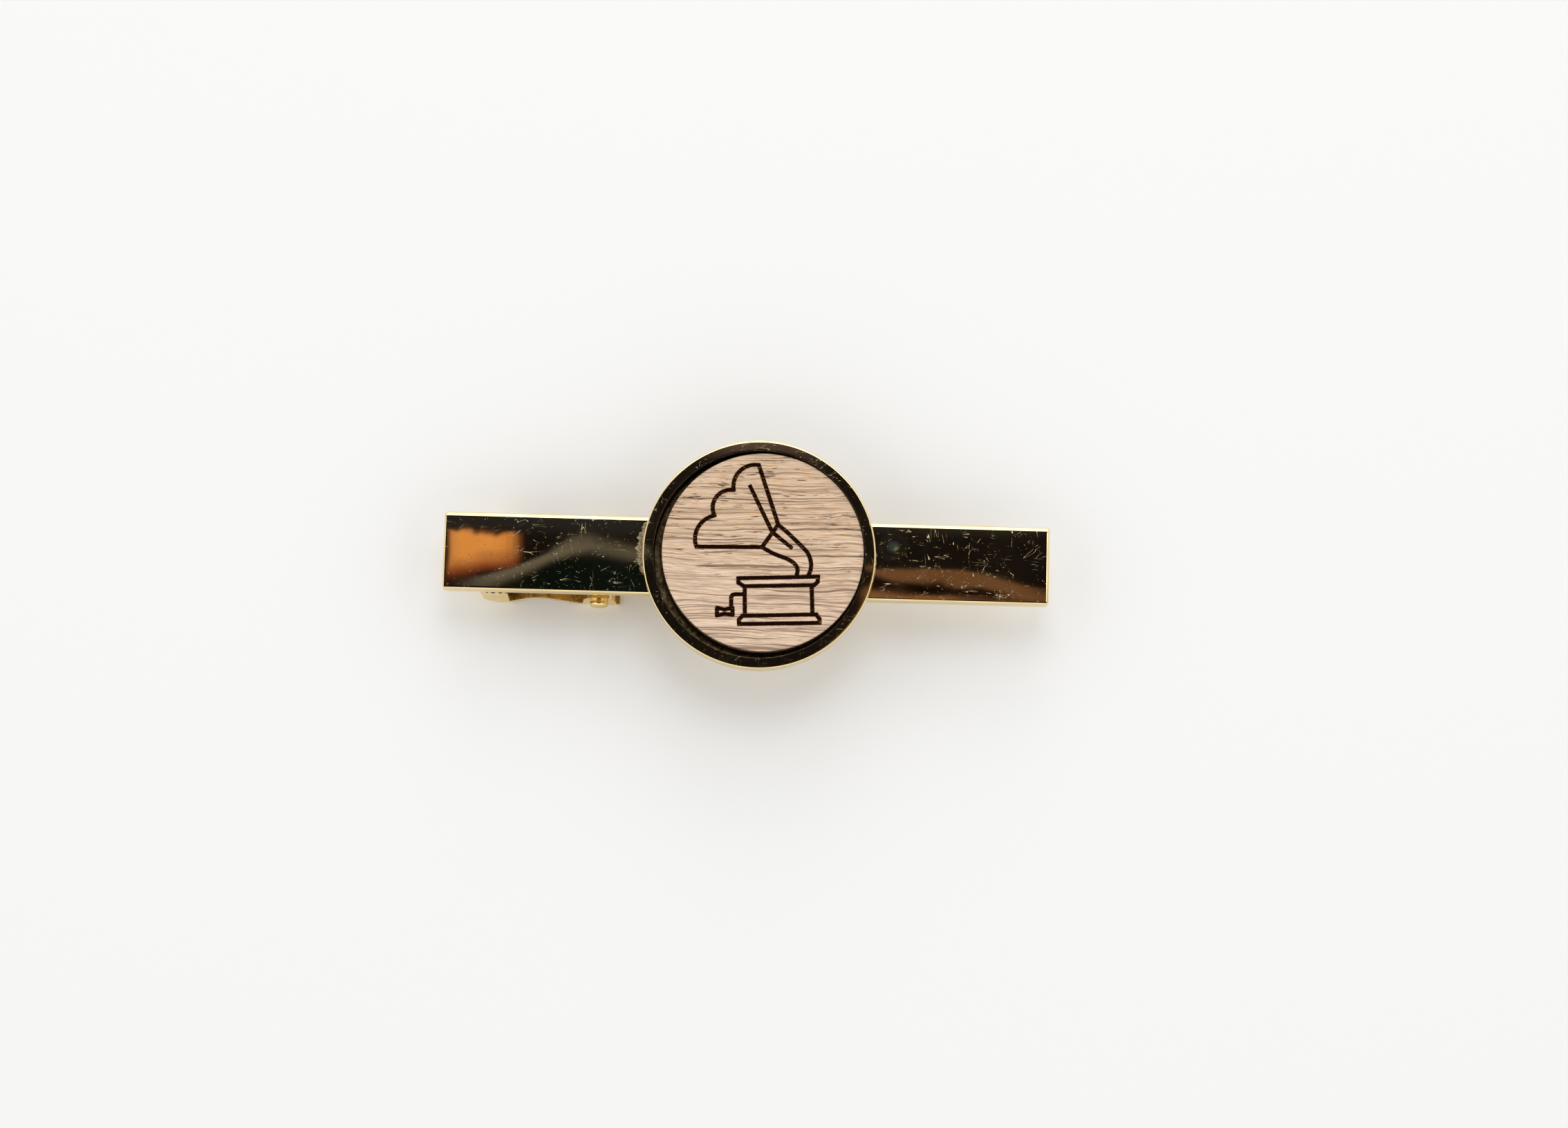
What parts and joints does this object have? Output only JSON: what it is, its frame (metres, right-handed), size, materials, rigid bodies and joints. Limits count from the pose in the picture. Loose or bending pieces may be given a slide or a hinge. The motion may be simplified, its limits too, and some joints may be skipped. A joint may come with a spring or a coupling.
{
  "type": "tie clip",
  "caption": "Polished gold tie clip: flat bar, round rimmed tray with a line-engraved wooden disc, and a sprung alligator clip with toothed jaw and thumb tab on the back.",
  "frame": {"origin": "below the middle of the bar's length and width, on the level of the clip's lowest lines", "axes": "+X along the bar from the jaw's end to the plain end, +Y across the bar towards the top of the engraving, +Z out of the bar's face"},
  "size_m": [0.0522, 0.02, 0.0074],
  "materials": {
    "polished_gold": "mirror polished gold plate on brass",
    "pressed_gold": "barrel polished gold plate on pressed brass sheet",
    "spring_wire": "gold flashed drawn spring wire",
    "solder": "dull soldered joint",
    "clear_glue": "cured clear glue",
    "engraved_wood": "bare sanded veneer with burnt engraving and burnt edge"
  },
  "bodies": {
    "bar": {"front_bar": "polished_gold", "bezel_tray": "polished_gold", "tray_solder": "solder", "disc_glue": "clear_glue", "wood_disc": "engraved_wood", "bracket_solder": "solder", "clip_bracket": "pressed_gold", "torsion_spring": "spring_wire"},
    "lever": {"clip_lever": "pressed_gold", "hinge_pin": "pressed_gold"}
  },
  "joints": [
    {"name": "clip_hinge", "type": "hinge", "parent": "bar", "child": "lever", "pos_m": [-0.0127, 0, 0.00175], "axis": [0, -1, 0], "range_deg": [0, 14], "stiffness_Nm_per_rad": 0.0012, "springref_deg": -85.94, "deforming": ["torsion_spring"]}
  ]
}
